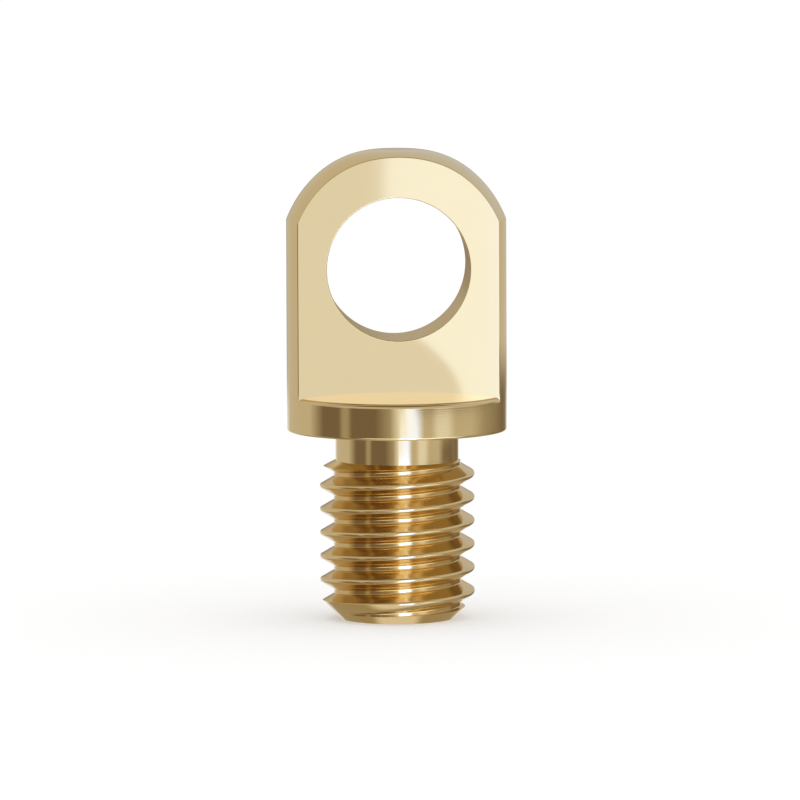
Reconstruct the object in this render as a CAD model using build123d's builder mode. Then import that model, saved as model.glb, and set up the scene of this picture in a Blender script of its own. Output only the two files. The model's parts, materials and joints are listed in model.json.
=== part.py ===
"""Lifting eye bolt, one piece of machined brass.

A bar is turned to a round head with a domed top, a collar, a relieved neck and a stud. Two
flats are milled on the head down to the collar, the eye is bored across them, and a
right-hand M10 x 1.5 thread is cut on the stud.

Millimetres, +Z up. The origin is on the axis at the collar's underside, the seat that meets
whatever the stud is screwed into. The eye's bore runs along Y.
"""

import os
from math import radians, sqrt, tan

from build123d import *

# Head: the bar's full diameter stays on the collar and on the two narrow sides of the eye.
head_diameter = 14.0
collar_height = 2.3
flat_thickness = 5.6

# Dome: a round a little fuller than the bar, faced off at the crown and blended into that face.
crown_height = 17.93
dome_fullness = 0.5
crown_facing = 0.37
crown_blend = 6.0

# Eye, bored across the flats.
eye_diameter = 9.1
eye_height = 10.5

# Neck and stud, below the collar. The neck is turned under the thread's root by its relief.
neck_relief = 0.12
neck_length = 1.7
shoulder_angle = 55.0
stud_length = 12.05
tip_diameter = 7.1
tip_angle = 45.0

# Thread, M10 x 1.5, right-hand. The crest is under the nominal 10 mm by its allowance.
thread_diameter = 9.87
thread_pitch = 1.5
thread_angle = 60.0
thread_depth = 0.89
crest_flat = 0.22
thread_start_angle = 112.0

# Broken edges. The rim of the ledge that the flats leave on the collar is rounded.
edge_break = 0.08
eye_edge_break = 0.1
seat_edge_break = 0.15
ledge_round = 0.3

# Radii, and the two ends of the dome before its crown is blended.
head_radius = head_diameter / 2
tip_radius = tip_diameter / 2
thread_radius = thread_diameter / 2
root_radius = thread_radius - thread_depth
neck_radius = root_radius - neck_relief
dome_radius = head_radius + dome_fullness
dome_centre = crown_height + crown_facing - dome_radius
crown_radius = sqrt(dome_radius**2 - (crown_height - dome_centre) ** 2)
dome_base = dome_centre + sqrt(dome_radius**2 - head_radius**2)

# One groove of the thread, as the threading tool cuts it. It starts two turns under the
# stud's tip and runs out in the neck. Its flanks go on past the crest until they have used
# half of the crest's flat, so that the groove opens through the rod and its turns stay apart.
groove_start = -stud_length - 2 * thread_pitch
groove_end = -neck_length / 2
flank_slope = tan(radians(thread_angle / 2))
crest_gap = thread_pitch - crest_flat
root_gap = crest_gap - 2 * thread_depth * flank_slope
mouth_gap = crest_gap + crest_flat / 2
mouth_radius = thread_radius + (mouth_gap - crest_gap) / 2 / flank_slope

with BuildPart() as thread_groove:
    with BuildLine() as thread_path:
        Helix(
            pitch=thread_pitch,
            height=groove_end - groove_start,
            radius=thread_radius,
            center=(0, 0, groove_start),
        )
    with BuildSketch(Plane.XZ.shift_origin((0, 0, groove_start))):
        with BuildLine():
            Polyline(
                (mouth_radius, mouth_gap / 2),
                (root_radius, root_gap / 2),
                (root_radius, -root_gap / 2),
                (mouth_radius, -mouth_gap / 2),
                close=True,
            )
        make_face()
    sweep(path=thread_path.line, is_frenet=True)

# The stud: a threaded rod, turned down to its outline of tip, shoulder and neck. The rod is
# a turn longer than the stud, and its outline stands clear of the thread's crest between the
# tip and the shoulder. Its upper end is sunk into the collar, where the two become one.
clear_radius = thread_radius + thread_depth
tip_rise = (clear_radius - tip_radius) / tan(radians(tip_angle))
shoulder_drop = (clear_radius - neck_radius) / tan(radians(shoulder_angle))
root_in_collar = collar_height / 2

with BuildPart() as stud:
    with BuildSketch(Plane.XY.offset(-stud_length - thread_pitch)):
        Circle(thread_radius)
    extrude(amount=stud_length + thread_pitch + collar_height)
    add(thread_groove.part, rotation=(0, 0, thread_start_angle), mode=Mode.SUBTRACT)
    with BuildSketch(Plane.XZ):
        with BuildLine():
            Polyline(
                (0, -stud_length),
                (tip_radius, -stud_length),
                (clear_radius, tip_rise - stud_length),
                (clear_radius, -neck_length - shoulder_drop),
                (neck_radius, -neck_length),
                (neck_radius, root_in_collar),
                (0, root_in_collar),
                close=True,
            )
        make_face()
    revolve(axis=Axis.Z, mode=Mode.INTERSECT)

# The head is turned first, then milled, bored and deburred, and the stud joins it.
with BuildPart() as eye_bolt:
    with BuildSketch(Plane.XZ) as head_profile:
        with BuildLine():
            dome_foot = (head_radius, dome_base)
            crown_rim = (crown_radius, crown_height)
            Polyline(crown_rim, (0, crown_height), (0, 0), (head_radius, 0), dome_foot)
            RadiusArc(dome_foot, crown_rim, -dome_radius)
        make_face()
        rim = head_profile.vertices().group_by(Axis.Y)[-1].sort_by(Axis.X)[-1]
        fillet(rim, crown_blend)
    revolve(axis=Axis.Z)
    chamfer(eye_bolt.edges().group_by(Axis.Z)[0], seat_edge_break)

    # Two flats, milled down to the collar. Their straight sides and their feet stay sharp.
    with BuildSketch(Plane.XY.offset(collar_height)):
        with Locations((0, head_radius), (0, -head_radius)):
            Rectangle(head_diameter, head_diameter - flat_thickness)
    extrude(amount=crown_height, mode=Mode.SUBTRACT)
    milled_edges = eye_bolt.edges(Select.LAST)
    curved_edges = milled_edges - milled_edges.filter_by(GeomType.LINE)
    ledge_rims = curved_edges.group_by(Axis.Z)[0]
    chamfer(curved_edges - ledge_rims, edge_break)
    fillet(ledge_rims, ledge_round)

    # The eye.
    with Locations(Plane.XZ.shift_origin((0, 0, eye_height))):
        Hole(eye_diameter / 2)
    chamfer(eye_bolt.edges(Select.LAST).filter_by(GeomType.CIRCLE), eye_edge_break)

    add(stud.part)

eye_bolt.part.label = "eye_bolt"
os.makedirs("parts", exist_ok=True)
export_step(eye_bolt.part, "parts/eye_bolt.step")
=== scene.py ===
import json
from math import asin, cos, hypot, pi, radians, sin, sqrt, tan

import bmesh
import bpy
import numpy as np
from mathutils import Matrix, Vector


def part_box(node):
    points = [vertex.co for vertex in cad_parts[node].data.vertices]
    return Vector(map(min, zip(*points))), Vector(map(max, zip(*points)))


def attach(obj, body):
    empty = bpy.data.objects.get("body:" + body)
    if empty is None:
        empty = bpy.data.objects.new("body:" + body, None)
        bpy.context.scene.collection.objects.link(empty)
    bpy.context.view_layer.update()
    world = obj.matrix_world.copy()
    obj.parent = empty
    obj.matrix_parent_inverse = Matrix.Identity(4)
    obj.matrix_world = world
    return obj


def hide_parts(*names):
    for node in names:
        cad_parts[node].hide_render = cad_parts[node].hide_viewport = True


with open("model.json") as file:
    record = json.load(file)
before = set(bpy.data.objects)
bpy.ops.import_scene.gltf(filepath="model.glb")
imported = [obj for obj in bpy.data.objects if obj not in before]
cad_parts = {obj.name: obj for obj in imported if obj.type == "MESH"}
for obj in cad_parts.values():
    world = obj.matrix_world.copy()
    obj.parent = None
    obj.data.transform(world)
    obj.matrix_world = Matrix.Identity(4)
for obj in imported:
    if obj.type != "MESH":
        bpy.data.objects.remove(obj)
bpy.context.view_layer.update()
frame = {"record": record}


# --- The head ------------------------------------------------------------------------------
# The upper end of the bar, turned to 14 mm with a domed crown, then milled to two flats that
# stop on a round collar, and bored through them for the eye. All its edges are broken by hand.

MM = 0.001
mounts = {mount["name"]: mount for mount in frame["record"]["mounts"]}
crown_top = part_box("eye_bolt")[1][2]
head_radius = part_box("eye_bolt")[1][0]
eye_radius = mounts["eye"]["dims"]["r_mm"] * MM
eye_height = mounts["eye"]["pos_m"][2]
flat_depth = 2.8 * MM
ledge_height = 2.3 * MM
dome_radius = head_radius + 0.5 * MM
faced_off = 0.37 * MM
dome_centre = crown_top + faced_off - dome_radius
dome_base = dome_centre + sqrt(dome_radius**2 - head_radius**2)
crown_blend = 6.0 * MM
blend_centre = crown_top - crown_blend
face_radius = sqrt((dome_radius - crown_blend) ** 2 - (blend_centre - dome_centre) ** 2)
blend_edge = face_radius * dome_radius / (dome_radius - crown_blend)
edge_break = 0.05 * MM
eye_break = 0.06 * MM
seat_round = 0.15 * MM
ledge_round = 0.3 * MM
neck_radius = 3.925 * MM
brink = ledge_height - ledge_round

SIDE_STEPS, DOME_STEPS, LEDGE_STEPS, DEPTH_STEPS, ROUND_STEPS = 36, 150, 140, 44, 8
HALVINGS = 48
SHORT_HOLD, LONG_HOLD = 0.01, 0.004
WELD = 0.0002
TURNED, MILLED, BORED, THREADED = range(4)


class Skin:
    """Grids of points, gathered and then welded along their borders into one closed skin."""

    def __init__(self):
        self.points, self.faces, self.finishes = [], [], []

    def grid(self, rows, finish):
        rows = np.asarray(rows, float)
        high, wide = rows.shape[:2]
        first = len(self.points)
        self.points.extend(rows.reshape(-1, 3))
        for i in range(high - 1):
            for j in range(wide - 1):
                a = first + i * wide + j
                self.faces.append((a, a + 1, a + wide + 1, a + wide))
                self.finishes.append(finish)

    def welded(self, distance):
        made = bmesh.new()
        corners = [made.verts.new(point) for point in self.points]
        for face, finish in zip(self.faces, self.finishes):
            made.faces.new([corners[i] for i in face]).material_index = finish
        bmesh.ops.remove_doubles(made, verts=made.verts, dist=distance)
        bmesh.ops.dissolve_degenerate(made, edges=made.edges, dist=distance / 10)
        return made


def crown_at(radius):
    """Height of the turned crown at each radius."""
    blend = blend_centre + np.sqrt(np.clip(crown_blend**2 - (radius - face_radius) ** 2, 0, None))
    dome = dome_centre + np.sqrt(np.clip(dome_radius**2 - radius**2, 0, None))
    return np.where(radius < face_radius, crown_top, np.where(radius < blend_edge, blend, dome))


def on_head(angle, depth):
    """Where the rays at these angles from the eye's axis leave the turned head, at a depth or depths."""
    near, far = np.zeros_like(angle), np.full_like(angle, 2 * head_radius)
    for _ in range(HALVINGS):
        reach = (near + far) / 2
        radius = np.hypot(reach * np.cos(angle), depth)
        inside = (radius < head_radius) & (eye_height + reach * np.sin(angle) < crown_at(radius))
        near, far = np.where(inside, reach, near), np.where(inside, far, reach)
    return np.stack([near * np.cos(angle), depth + 0 * near, eye_height + near * np.sin(angle)], axis=-1)


foot_heights = np.linspace(brink, ledge_height, ROUND_STEPS + 1)
side_heights = np.concatenate([foot_heights[:-1], np.linspace(ledge_height, dome_base, SIDE_STEPS + 1)])


def side_angles(depth):
    """Angles of the rays up one narrow side, over the dome and down the other side."""
    side = np.arctan2(side_heights - eye_height, sqrt(head_radius**2 - depth**2))
    dome = np.linspace(side[-1], pi - side[-1], DOME_STEPS + 1)[1:-1]
    return np.concatenate([side, dome, pi - side[::-1]])


def rounded(inner, sharp, outer):
    """Rows of points that round an edge off, from the inner line to the outer one."""
    share = np.linspace(0, 1, ROUND_STEPS + 1)
    return [(1 - t) ** 2 * inner + 2 * t * (1 - t) * sharp + t**2 * outer for t in share]


def held(steps, margin=SHORT_HOLD):
    """Even steps from 0 to 1, with one more close to each end that holds a smooth edge crisp."""
    even = np.linspace(0, 1, steps + 1)
    return np.concatenate([[0, margin], even[1:-1], [1 - margin, 1]])


def rim(radius, height):
    """A circle's arc round the bolt's axis, from one side of a flat to the other."""
    end = asin(flat_depth / radius)
    angle = np.linspace(end, pi - end, LEDGE_STEPS + 1)
    return np.stack([radius * np.cos(angle), radius * np.sin(angle), np.full(angle.shape, height)], axis=-1)


# The sharp outline of the front flat, and the broken edge on both sides of it. The break fades
# out beside the ledge's rounded rim, where flat, side and collar meet.
outline = on_head(side_angles(flat_depth), flat_depth)
run = np.gradient(outline, axis=0)
outward = np.stack([run[:, 2], 0 * run[:, 1], -run[:, 0]], axis=-1)
outward /= np.linalg.norm(outward, axis=1, keepdims=True)
fade = edge_break * np.clip((outline[:, 2] - brink) / (2 * ledge_round), 0, 1)
inner = outline - fade[:, None] * outward
outer = on_head(side_angles(flat_depth), flat_depth - fade * sqrt(1 - (flat_depth / head_radius) ** 2))

# The turned surface between the flats, from one side of the collar over the crown to the other.
depths = (flat_depth - 4 * edge_break) * (2 * np.linspace(0, 1, DEPTH_STEPS + 1) - 1)
strip = np.array([outer * [1, -1, 1], *(on_head(side_angles(depth), depth) for depth in depths), outer])
strip[:, 0, 2], strip[:, -1, 2] = brink, brink
head = Skin()
head.grid(strip, TURNED)

# Under each flat, the ledge and its rounded rim. The rim's ends stand clear of the flat's edges.
quarter = np.linspace(0, pi / 2, ROUND_STEPS + 1)
rims = [
    rim(head_radius - ledge_round * (1 - sin(a)), ledge_height - ledge_round * (1 - cos(a)))
    for a in quarter
]
foot = rims[0] * [1, 0, 1] + [0, flat_depth, 0]
flat_edge = inner[ROUND_STEPS:-ROUND_STEPS]
around = np.concatenate([flat_edge, foot[::-1], flat_edge[:1]])
spokes = np.arctan2(around[:, 2] - eye_height, around[:, 0])


def ring(radius, depth):
    """A circle round the eye's axis, with a point for each one on the flat's outline."""
    across, up = radius * np.cos(spokes), radius * np.sin(spokes)
    return np.stack([across, np.full(spokes.shape, depth), eye_height + up], axis=-1)


mouth = ring(eye_radius + eye_break, flat_depth)
sharp_mouth = ring(eye_radius, flat_depth)
throat_depth = flat_depth - eye_break
for side in ([1, 1, 1], [1, -1, 1]):
    head.grid(np.array(rounded(inner, outline, outer)) * side, TURNED)
    head.grid(np.array(rims) * side, TURNED)
    head.grid([(foot * (1 - t) + rims[0] * t) * side for t in held(3)], MILLED)
    for end, upright in ((0, inner[ROUND_STEPS::-1]), (-1, inner[-ROUND_STEPS - 1 :])):
        head.grid(np.array([[line[end] for line in rims], upright]) * side, MILLED)
    head.grid([(around * (1 - t) + mouth * t) * side for t in held(4, LONG_HOLD)], MILLED)
    head.grid(np.array(rounded(mouth, sharp_mouth, ring(eye_radius, throat_depth))) * side, BORED)
head.grid([ring(eye_radius, depth) for depth in throat_depth * (2 * held(8, LONG_HOLD) - 1)], BORED)

# The collar under the brink, its rounded lower edge, and its underside in to the neck.
strip_ring = np.arctan2(strip[:, 0, 1], strip[:, 0, 0])
ledge_ring = np.arctan2(rims[-1][:, 1], rims[-1][:, 0])
ring_angles = np.concatenate([strip_ring[:-1], ledge_ring[:-1], strip_ring[:-1] + pi, ledge_ring + pi])
collar_profile = [(head_radius, brink + (seat_round - brink) * t) for t in held(2)]
collar_profile += [(head_radius - seat_round * (1 - cos(a)), seat_round * (1 - sin(a))) for a in quarter[1:]]
seat_width = head_radius - seat_round - neck_radius
collar_profile += [(head_radius - seat_round - seat_width * t, 0) for t in held(2)[1:]]


def turned(profile):
    """Rows of points round the bolt's axis, one for each radius and height of a turned profile."""
    return [[(r * cos(a), r * sin(a), z) for a in ring_angles] for r, z in profile]


head.grid(turned(collar_profile), TURNED)


# --- The stud ------------------------------------------------------------------------------
# The bar's lower end, turned down to a relieved neck, a shoulder and a chamfered tip. A
# threading tool cuts its right-hand M10 x 1.5 thread, which runs out in the neck. Here it is
# worked in millimetres.

tip_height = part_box("eye_bolt")[0][2] / MM
thread_radius = mounts["thread"]["dims"]["r_mm"]
neck_length = 1.88
tip_radius = 3.55
shoulder_angle = radians(62)
tip_angle = radians(45)
pitch = 1.5
thread_depth = 0.89
crest_flat = 0.22
crest_round = 0.175
root_round = 0.08
flank_slope = tan(radians(30))
start_angle = radians(112)
tip_break = 0.04
end_hold = 0.02
STEPS_PER_TURN = 150

neck_mm = neck_radius / MM
shoulder_end = -neck_length - (thread_radius - neck_mm) / tan(shoulder_angle)
tip_start = tip_height + (thread_radius - tip_radius) / tan(tip_angle)
stud_profile = [
    (neck_mm, 0),
    (neck_mm, -end_hold),
    (neck_mm, -neck_length + end_hold),
    (neck_mm, -neck_length),
    (thread_radius, shoulder_end),
    (thread_radius, tip_start),
    (tip_radius + tip_break, tip_height + tip_break),
    (tip_radius + 0.3 * tip_break, tip_height + 0.3 * tip_break),
    (tip_radius - 0.7 * tip_break, tip_height),
]
blank = Skin()
blank.grid(turned(stud_profile), THREADED)
blank.grid(turned([stud_profile[-1], (0, tip_height)]), THREADED)
blank.grid(turned([(0, 0), stud_profile[0]]), THREADED)
blank_mesh = bpy.data.meshes.new("stud_blank")
shaped = blank.welded(WELD)
bmesh.ops.recalc_face_normals(shaped, faces=shaped.faces)
shaped.to_mesh(blank_mesh)
shaped.free()
stud = bpy.data.objects.new("threaded_stud", blank_mesh)
bpy.context.scene.collection.objects.link(stud)

# The threading tool's point: a flat with rounded corners, two flanks, and a flare that breaks
# the crest's edges. Its mouth is wider than the groove, outside the rod. Points close to the
# ends of the flat and of each flank hold their shading flat up to the roundings.
mouth_lip, mouth_rise, mouth_flare = 0.02, 0.3, 0.005
crest_half = (pitch - crest_flat) / 2
root_half = crest_half - thread_depth * flank_slope
root_x = root_half - root_round * flank_slope
centre_x = crest_half + crest_round * flank_slope
centre_y = thread_depth - crest_round
root_arc = [
    (root_x + root_round * sin(radians(a)), root_round * (1 - cos(radians(a))))
    for a in range(0, 61, 10)
]
crest_arc = [
    (centre_x - crest_round * cos(radians(a)), centre_y + crest_round * sin(radians(a)))
    for a in range(30, 86, 11)
]
flank_start, flank_end = Vector(root_arc[-1]), Vector(crest_arc[0])
flank = [tuple(flank_start.lerp(flank_end, t)) for t in (0.02, 0.98)]
edge = [(0.0, 0.0), (0.8 * root_x, 0.0), *root_arc, *flank, *crest_arc]
edge += [(centre_x, thread_depth + mouth_lip), (centre_x + mouth_flare, thread_depth + mouth_rise)]
tool_outline = edge[:0:-1] + [(-x, y) for x, y in edge[1:]]
tool_curve = bpy.data.curves.new("threading_tool", "CURVE")
tool_curve.dimensions = "3D"
spline = tool_curve.splines.new("POLY")
spline.points.add(len(tool_outline) - 1)
for point, (x, y) in zip(spline.points, tool_outline):
    point.co = (y - thread_depth, x, 0, 1)
spline.use_cyclic_u = True
tool = bpy.data.objects.new("threading_tool", tool_curve)
bpy.context.scene.collection.objects.link(tool)


class Tree:
    """A node tree that is filled by one call for each node."""

    def __init__(self, tree):
        self.tree = tree

    def add(self, kind, settings=None, sockets=None):
        """Adds a node of a type with its settings, then fills or links its sockets by name or number."""
        node = self.tree.nodes.new(kind)
        for name, value in (settings or {}).items():
            setattr(node, name, value)
        for key, value in (sockets or {}).items():
            if isinstance(value, bpy.types.NodeSocket):
                self.tree.links.new(value, node.inputs[key])
            else:
                node.inputs[key].default_value = value
        return node

    def maths(self, operation, *values):
        """One Math node, on values and plain numbers."""
        inputs = {i: v.socket if isinstance(v, Value) else v for i, v in enumerate(values)}
        return Value(self, self.add("ShaderNodeMath", {"operation": operation}, inputs).outputs[0])


class Value:
    """A socket that takes part in sums. Each sum adds its Math node to the tree."""

    def __init__(self, tree, socket):
        self.tree, self.socket = tree, socket

    def __add__(self, other):
        return self.tree.maths("ADD", self, other)

    def __radd__(self, other):
        return self.tree.maths("ADD", other, self)

    def __sub__(self, other):
        return self.tree.maths("SUBTRACT", self, other)

    def __rsub__(self, other):
        return self.tree.maths("SUBTRACT", other, self)

    def __mul__(self, other):
        return self.tree.maths("MULTIPLY", self, other)

    def __rmul__(self, other):
        return self.tree.maths("MULTIPLY", other, self)

    def __truediv__(self, other):
        return self.tree.maths("DIVIDE", self, other)

    def __pow__(self, other):
        return self.tree.maths("POWER", self, other)


cut = bpy.data.node_groups.new("cut_thread", "GeometryNodeTree")
cut.interface.new_socket(name="Blank", in_out="INPUT", socket_type="NodeSocketGeometry")
run_in = 2
thread_turns = (-neck_length / 2 - tip_height) / pitch + run_in
sizes = {
    "Tool": ("Object", tool),
    "Pitch": ("Float", pitch),
    "Turns": ("Float", thread_turns),
    "Radius": ("Float", thread_radius),
    "Start Height": ("Float", tip_height - run_in * pitch),
    "Start Angle": ("Float", start_angle),
    "Steps per Turn": ("Int", STEPS_PER_TURN),
    "Finish": ("Material", None),
}
for name, (kind, _) in sizes.items():
    cut.interface.new_socket(name=name, in_out="INPUT", socket_type="NodeSocket" + kind)
cut.interface.new_socket(name="Stud", in_out="OUTPUT", socket_type="NodeSocketGeometry")
tree = Tree(cut)
given = tree.add("NodeGroupInput").outputs
lead = Value(tree, given["Pitch"]) * Value(tree, given["Turns"])
helix = tree.add("GeometryNodeCurveSpiral", None, {
    "Resolution": given["Steps per Turn"],
    "Rotations": given["Turns"],
    "Start Radius": given["Radius"],
    "End Radius": given["Radius"],
    "Height": lead.socket,
    "Reverse": True,
})
placed = tree.add("GeometryNodeTransform", None, {
    "Geometry": helix.outputs["Curve"],
    "Translation": tree.add("ShaderNodeCombineXYZ", None, {"Z": given["Start Height"]}).outputs[0],
    "Rotation": tree.add("ShaderNodeCombineXYZ", None, {"Z": given["Start Angle"]}).outputs[0],
})
upright = tree.add("GeometryNodeSetCurveNormal", {"mode": "Z_UP"}, {"Curve": placed.outputs[0]})
point = tree.add("GeometryNodeObjectInfo", None, {"Object": given["Tool"]})
groove = tree.add("GeometryNodeCurveToMesh", None, {
    "Curve": upright.outputs[0],
    "Profile Curve": point.outputs["Geometry"],
    "Fill Caps": True,
})
grooved = tree.add("GeometryNodeMeshBoolean", {"operation": "DIFFERENCE", "solver": "MANIFOLD"}, {
    "Mesh 1": given["Blank"],
    "Mesh 2": groove.outputs[0],
})
in_metres = tree.add("GeometryNodeTransform", None, {
    "Geometry": grooved.outputs["Mesh"],
    "Scale": (MM, MM, MM),
})
whole = tree.add("GeometryNodeRealizeInstances", None, {"Geometry": in_metres.outputs[0]})
finished = tree.add("GeometryNodeSetMaterial", None, {
    "Geometry": whole.outputs[0],
    "Material": given["Finish"],
})
tree.add("NodeGroupOutput", None, {"Stud": finished.outputs[0]})


# --- Brass finishes ------------------------------------------------------------------------
# One yellow brass, left as each tool leaves it: polished on the turned faces and on the milled flats,
# ringed inside the bore, and a little duller in the thread. Its colour is painted a touch paler on the
# flats, as painted light, and darker inside the bore and darker and deeper in the thread, as painted shade.

POLISHED_BRASS = (0.86, 0.70, 0.41)
# A touch paler than the polished brass: painted light that brightens the flats.
LIT_FLAT_BRASS = (0.87, 0.72, 0.44)
# Darker and deeper than the polished brass: painted shade in the thread's grooves.
SHADED_THREAD_BRASS = (0.82, 0.61, 0.30)
# Darker than the polished brass: painted shade inside the bore.
SHADED_BORE_BRASS = (0.77, 0.60, 0.29)


def shade(colour, factor):
    return tuple(part * factor for part in colour)


class Paint(Tree):
    """The shader tree of a material or of the world, emptied."""

    def __init__(self, owner):
        owner.use_nodes = True
        super().__init__(owner.node_tree)
        self.tree.nodes.clear()

    def between(self, value, low, high):
        """0 below the low value, 1 above the high one and a smooth step from one to the other."""
        sockets = {"Value": value.socket, "From Min": low, "From Max": high}
        node = self.add("ShaderNodeMapRange", {"interpolation_type": "SMOOTHSTEP"}, sockets)
        return Value(self, node.outputs[0])

    def mixed(self, share, first, second):
        """One colour or link where the share is 0, the other where it is 1."""
        sides = [c if isinstance(c, bpy.types.NodeSocket) else (*c, 1) for c in (first, second)]
        sockets = {0: share.socket, 6: sides[0], 7: sides[1]}
        return self.add("ShaderNodeMix", {"data_type": "RGBA"}, sockets).outputs[2]


class Finish(Paint):
    """A material that is built from sums on the place of each point, in millimetres."""

    def __init__(self, name):
        self.material = bpy.data.materials.new(name)
        super().__init__(self.material)
        self.shader = self.add("ShaderNodeBsdfPrincipled", None, {"Metallic": 1.0})
        self.add("ShaderNodeOutputMaterial", None, {"Surface": self.shader.outputs[0]})
        place = self.add("ShaderNodeTexCoord").outputs["Object"]
        scaled = self.add("ShaderNodeVectorMath", {"operation": "SCALE"}, {"Vector": place, "Scale": 1 / MM})
        self.place = scaled.outputs[0]
        parts = self.add("ShaderNodeSeparateXYZ", None, {0: self.place}).outputs
        self.x, self.y, self.z = (Value(self, part) for part in parts)
        self.radius = (self.x * self.x + self.y * self.y) ** 0.5

    def noise(self, scale, detail=2.0, line=None):
        """Even noise over the piece, or noise that only varies along a line."""
        settings = {"noise_dimensions": "1D" if line else "3D"}
        where = {"W": line.socket} if line else {"Vector": self.place}
        node = self.add("ShaderNodeTexNoise", settings, {**where, "Scale": scale, "Detail": detail})
        return Value(self, node.outputs[0])

    def finish(self, colour, roughness, height, depth):
        """Links the colour, the roughness and the height of the marks, whose depth is in mm."""
        relief = {"Height": height.socket, "Distance": depth * MM, "Strength": 1.0}
        bump = self.add("ShaderNodeBump", None, relief)
        self.tree.links.new(colour, self.shader.inputs["Base Color"])
        self.tree.links.new(roughness.socket, self.shader.inputs["Roughness"])
        self.tree.links.new(bump.outputs[0], self.shader.inputs["Normal"])
        return self.material


lathe = Finish("turned_brass")
marks = lathe.noise(scale=14.0, detail=3.0, line=lathe.z - lathe.radius)
smudge = lathe.noise(scale=0.5, detail=3.0)
turned_brass = lathe.finish(
    colour=lathe.mixed(smudge, shade(POLISHED_BRASS, 0.97), shade(POLISHED_BRASS, 1.02)),
    roughness=0.03 + 0.03 * marks + 0.02 * smudge,
    height=marks,
    depth=0.0002,
)

milled = Finish("milled_brass")
swirl = milled.noise(scale=0.35)
grain = milled.noise(scale=30.0, line=milled.x + 0.25 * milled.z)
over_the_eye = milled.between(milled.z, 10.0, 17.0)
# The flats' colour is the paler brass, painted light.
milled_brass = milled.finish(
    colour=milled.mixed(swirl, shade(LIT_FLAT_BRASS, 0.985), shade(LIT_FLAT_BRASS, 1.01)),
    roughness=0.02 + 0.02 * swirl + 0.012 * over_the_eye,
    height=0.97 * swirl + 0.03 * grain,
    depth=0.0004,
)

# The bore's brass is painted darker, as painted shade in the hole; its rings are the tool's marks.
bored = Finish("bored_brass")
rings = bored.noise(scale=16.0, line=bored.y)
bored_brass = bored.finish(
    colour=bored.mixed(rings, SHADED_BORE_BRASS, shade(SHADED_BORE_BRASS, 1.1)),
    roughness=0.16 + 0.12 * rings,
    height=rings,
    depth=0.0010,
)

# The crests keep the polished brass. Below them the brass is painted darker, as painted shade in the
# grooves, with a random patina over it.
threaded = Finish("threaded_brass")
crest = threaded.between(threaded.radius, thread_radius - 0.06, thread_radius - 0.01)
tears = threaded.noise(scale=9.0, detail=3.0, line=threaded.radius * 6 + threaded.z)
patina = threaded.noise(scale=1.1, detail=4.0)
shaded_and_patinated = threaded.mixed(patina, shade(SHADED_THREAD_BRASS, 0.93), SHADED_THREAD_BRASS)
threaded_brass = threaded.finish(
    colour=threaded.mixed(crest, shaded_and_patinated, POLISHED_BRASS),
    roughness=0.08 + 0.04 * patina + 0.04 * tears,
    height=tears,
    depth=0.00015,
)


# --- The whole bolt ------------------------------------------------------------------------
# The head and the stud are two ends of one bar, so they are welded at the seat, under the
# collar, into one closed skin. The neck keeps its turned finish down to the shoulder.

SHARP_ANGLE = radians(16)
AT_SEAT = 1e-8
near_neck = (neck_mm + 0.01) * MM

cutting = stud.modifiers.new("cut_thread", "NODES")
cutting.node_group = cut
sizes["Finish"] = ("Material", threaded_brass)
for item in cut.interface.items_tree:
    if item.name in sizes:
        cutting[item.identifier] = sizes[item.name][1]
evaluated = stud.evaluated_get(bpy.context.evaluated_depsgraph_get())
stud_mesh = bpy.data.meshes.new_from_object(evaluated)
bpy.data.objects.remove(stud)
bpy.data.objects.remove(tool)

bar = head.welded(WELD * MM)
whole_head = set(bar.faces)
bar.from_mesh(stud_mesh)
for face in set(bar.faces) - whole_head:
    middle = face.calc_center_median()
    on_neck = middle.z > -neck_length * MM and hypot(middle.x, middle.y) < near_neck
    face.material_index = TURNED if on_neck else THREADED
hidden = [
    face for face in set(bar.faces) - whole_head if all(corner.co.z > -AT_SEAT for corner in face.verts)
]
bmesh.ops.delete(bar, geom=hidden, context="FACES")
bmesh.ops.remove_doubles(bar, verts=bar.verts, dist=WELD * MM)
bmesh.ops.recalc_face_normals(bar, faces=bar.faces)
for face in bar.faces:
    face.smooth = True

bolt_mesh = bpy.data.meshes.new("brass_eye_bolt")
bar.to_mesh(bolt_mesh)
bar.free()
bolt_mesh.set_sharp_from_angle(angle=SHARP_ANGLE)
for finish in (turned_brass, milled_brass, bored_brass, threaded_brass):
    bolt_mesh.materials.append(finish)
bolt = bpy.data.objects.new("brass_eye_bolt", bolt_mesh)
bpy.context.scene.collection.objects.link(bolt)
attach(bolt, "root")
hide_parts("eye_bolt")


# --- The studio ----------------------------------------------------------------------------
# A pale floor in white light, and round the bolt a tent of card that only the metal sees. It
# has upright panels all round, and over them smaller cards, pale or dark, low and high. Their
# places are degrees: the bearing from the front, rising to the right, and the height.

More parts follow.
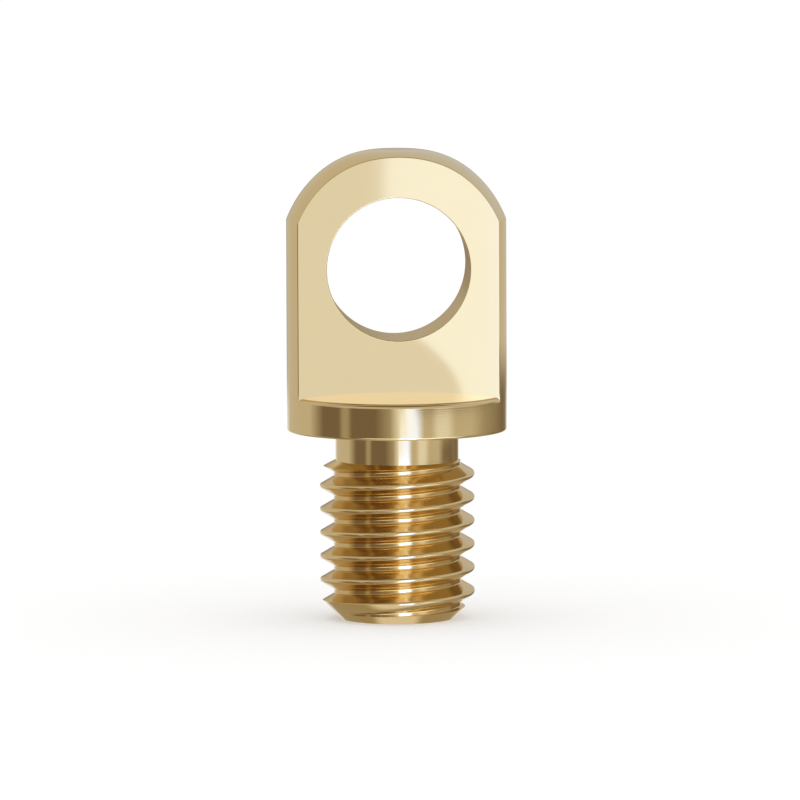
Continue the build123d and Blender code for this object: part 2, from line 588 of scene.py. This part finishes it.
TENT_RADIUS = 130 * MM
SOFTBOX = (1.1, 1.3, 2.0)
SOFTBOX_SIDE = (1.1, 1.2, 1.4)
THREAD_LIGHT = (1.8, 2.8, 6.5)
LOW_LIGHT = (1.7, 1.7, 1.6)
PALE_CARD = (0.85, 0.85, 0.85)
GREY_CARD = (0.6, 0.6, 0.6)
CREAM_CARD = (0.6, 0.55, 0.45)
TAN_CARD = (0.4, 0.35, 0.25)
BROWN_CARD = (0.2, 0.15, 0.1)
BRIGHTEST = 6.5
LEDGE_GAIN = 0.2
PANELS = [
    (-180, TAN_CARD),
    (-160, CREAM_CARD),
    (-105, CREAM_CARD),
    (-85, BROWN_CARD),
    (-65, BROWN_CARD),
    (-60, TAN_CARD),
    (-55, TAN_CARD),
    (-50, BROWN_CARD),
    (-25, BROWN_CARD),
    (-10, TAN_CARD),
    (-1, PALE_CARD),
    (1, SOFTBOX_SIDE),
    (6, SOFTBOX_SIDE),
    (8, SOFTBOX),
    (17, SOFTBOX),
    (25, CREAM_CARD),
    (32, CREAM_CARD),
    (40, PALE_CARD),
    (50, PALE_CARD),
    (60, CREAM_CARD),
    (80, CREAM_CARD),
    (100, TAN_CARD),
    (140, BROWN_CARD),
    (180, TAN_CARD),
]

tent_mesh = bpy.data.meshes.new("tent")
shell = bmesh.new()
bmesh.ops.create_uvsphere(shell, u_segments=96, v_segments=48, radius=TENT_RADIUS)
shell.to_mesh(tent_mesh)
shell.free()
tent = bpy.data.objects.new("tent", tent_mesh)
bpy.context.scene.collection.objects.link(tent)
tent.visible_camera = False
tent.visible_diffuse = False
tent.visible_shadow = False
card = bpy.data.materials.new("tent_card")
paint = Paint(card)
spot = paint.add("ShaderNodeTexCoord").outputs["Object"]
x, y, z = (Value(paint, part) for part in paint.add("ShaderNodeSeparateXYZ", None, {0: spot}).outputs)
bearing = paint.maths("ARCTAN2", x, 0 - y) * (180 / pi)
height = paint.maths("ARCSINE", z / TENT_RADIUS) * (180 / pi)
off_front = paint.maths("ABSOLUTE", bearing)
ramp = paint.add("ShaderNodeValToRGB", None, {0: (bearing / 360 + 0.5).socket})
while len(ramp.color_ramp.elements) < len(PANELS):
    ramp.color_ramp.elements.new(0.5)
for stop, (degrees_round, colour) in zip(ramp.color_ramp.elements, PANELS):
    stop.position = degrees_round / 360 + 0.5
    stop.color = (*shade(colour, 1 / BRIGHTEST), 1)

above = paint.between


def below(value, low, high):
    return 1 - above(value, low, high)


# The front card's right edge leans and bends. The flats show it from top to bottom.
drop = paint.maths("MAXIMUM", height + 4.6, 0)
card_edge = paint.maths("MAXIMUM", 4.97 - 0.35 * drop * drop, 2.45)
for share, end_bearing in ((above(height, 3.8, 5.2), 5.0), (below(height, -4.7, -4.5), 1.0)):
    card_edge = card_edge * (1 - share) + end_bearing * share
edge_width = 0.5 + 0.05 * height
past_edge = above((bearing - card_edge) / edge_width, -0.5, 0.5)

# Each card lies over those before it. An edge fades between its two places.
behind = above(off_front, 60, 110)
in_front = 1 - behind
from_left = above(x / TENT_RADIUS, -0.25, 0.35)
under_neck = below(height, -7.0, -6.6)
cards = [
    # In front of the flats, and low on the right.
    (PALE_CARD, above(bearing, -1.5, -0.5) * (1 - past_edge) * above(height, -4.9, -4.6)),
    (BROWN_CARD, below(height, -6.2, -5.6) * above(bearing, 78, 98) * below(bearing, 116, 134)),
    # Level with the thread: a gap on the left, a light in front and a darker card on the right.
    (BROWN_CARD, under_neck * above(bearing, -56, -50) * below(bearing, -28, -16)),
    (THREAD_LIGHT, under_neck * above(bearing, -1, 1) * below(bearing, 17, 24)),
    (SOFTBOX_SIDE, below(height, -40, -20) * above(bearing, -1, 1) * below(bearing, 15, 20)),
    (TAN_CARD, under_neck * above(bearing, 42, 60) * below(bearing, 100, 120)),
    # A gap over the collar on the right, and the card behind it.
    (
        BROWN_CARD,
        above(height, -4.6, -4.4) * below(height, -3.0, -2.6)
        * above(bearing, 12, 20) * below(bearing, 110, 120),
    ),
    (CREAM_CARD, above(height, -4.6, -2.6) * above(bearing, 112, 130) * below(bearing, 164, 174)),
    # Behind, where the bore and the crown look.
    (PALE_CARD, above(off_front, 150, 168) * below(height, -5.5, -3.5)),
    (BROWN_CARD, above(off_front, 171, 176) * above(height, -5.0, -4.0) * below(height, 1, 4)),
    (CREAM_CARD, above(height, 9, 16) * behind),
    (GREY_CARD, above(height, 9, 16) * behind * from_left),
    # Overhead in front.
    (CREAM_CARD, above(height, 8.2, 10.2) * in_front),
    (BROWN_CARD, above(height, 44, 50) * in_front),
    # Low all round, and under the bolt.
    (
        LOW_LIGHT,
        below(height, -14, -13) * above(height, -34, -28)
        * above(bearing, -50, -25) * below(bearing, 60, 78),
    ),
    (TAN_CARD, below(height, -30, -22) * behind),
    (PALE_CARD, below(height, -76, -66)),
]
painted = ramp.outputs[0]
for colour, share in cards:
    painted = paint.mixed(share, painted, shade(colour, 1 / BRIGHTEST))

# What faces the ledge is a little brighter than the rest.
facing_ledge = above(height, 3.8, 5.2) * below(height, 8.2, 10.2) * below(off_front, 8, 12)
gain = 1 + LEDGE_GAIN * facing_ledge
lit = paint.add("ShaderNodeVectorMath", {"operation": "SCALE"}, {"Vector": painted, "Scale": gain.socket})
glow = paint.add("ShaderNodeEmission", None, {"Color": lit.outputs[0], "Strength": BRIGHTEST})
paint.add("ShaderNodeOutputMaterial", None, {"Surface": glow.outputs[0]})
tent_mesh.materials.append(card)

FLOOR_HALF = 4.0
FLOOR_COLOUR = (0.8, 0.8, 0.8, 1)
WHITE = (1, 1, 1, 1)
FLOOR_LIFT = 0.3
WORLD_LIGHT = 0.9

floor_mesh = bpy.data.meshes.new("floor")
sheet = bmesh.new()
bmesh.ops.create_grid(sheet, x_segments=1, y_segments=1, size=FLOOR_HALF)
bmesh.ops.translate(sheet, verts=sheet.verts, vec=(0, 0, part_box("eye_bolt")[0][2]))
sheet.to_mesh(floor_mesh)
sheet.free()
floor = bpy.data.objects.new("floor", floor_mesh)
bpy.context.scene.collection.objects.link(floor)
floor.visible_glossy = False


def shown(tree):
    """1 for the rays that show the background itself: to the camera, in metal and through glass."""
    rays = tree.add("ShaderNodeLightPath").outputs
    names = ("Is Camera Ray", "Is Glossy Ray", "Is Transmission Ray")
    direct, in_metal, through_glass = (Value(tree, rays[name]) for name in names)
    return tree.maths("MAXIMUM", tree.maths("MAXIMUM", direct, in_metal), through_glass)


pale = bpy.data.materials.new("pale_floor")
ground = Paint(pale)
matt = ground.add("ShaderNodeBsdfDiffuse", None, {"Color": FLOOR_COLOUR})
lift = ground.add("ShaderNodeEmission", None, {
    "Color": WHITE,
    "Strength": (FLOOR_LIFT * shown(ground)).socket,
})
both = ground.add("ShaderNodeAddShader", None, {0: matt.outputs[0], 1: lift.outputs[0]})
ground.add("ShaderNodeOutputMaterial", None, {"Surface": both.outputs[0]})
floor_mesh.materials.append(pale)

world = bpy.data.worlds.new("white_room")
bpy.context.scene.world = world
room = Paint(world)
sky = room.add("ShaderNodeBackground", None, {
    "Color": WHITE,
    "Strength": (WORLD_LIGHT + (1 - WORLD_LIGHT) * shown(room)).socket,
})
room.add("ShaderNodeOutputWorld", None, {"Surface": sky.outputs[0]})

# The camera stands 0.8 m off, a little to the left and a little above.
azimuth, elevation, roll = radians(-3.0), radians(5.67), radians(0.219)
aim = Vector((0, 0, 3.0 * MM))
distance = 0.8
slide_right, slide_down = 0.206 * MM, 1.081 * MM
back = Vector((sin(azimuth) * cos(elevation), -cos(azimuth) * cos(elevation), sin(elevation)))
level = Vector((cos(azimuth), sin(azimuth), 0))
rise = back.cross(level)
right = level * cos(roll) - rise * sin(roll)
up = level * sin(roll) + rise * cos(roll)
camera_data = bpy.data.cameras.new("camera")
camera_data.lens = 565.4
camera_data.sensor_width = 36.0
camera_data.clip_start = 0.05
camera_data.clip_end = 20.0
camera = bpy.data.objects.new("camera", camera_data)
bpy.context.scene.collection.objects.link(camera)
stand = aim + back * distance + right * slide_right - up * slide_down
turn = Matrix((right, up, back)).transposed().to_4x4()
camera.matrix_world = Matrix.Translation(stand) @ turn
bpy.context.scene.camera = camera
bpy.context.scene.view_settings.view_transform = "Standard"
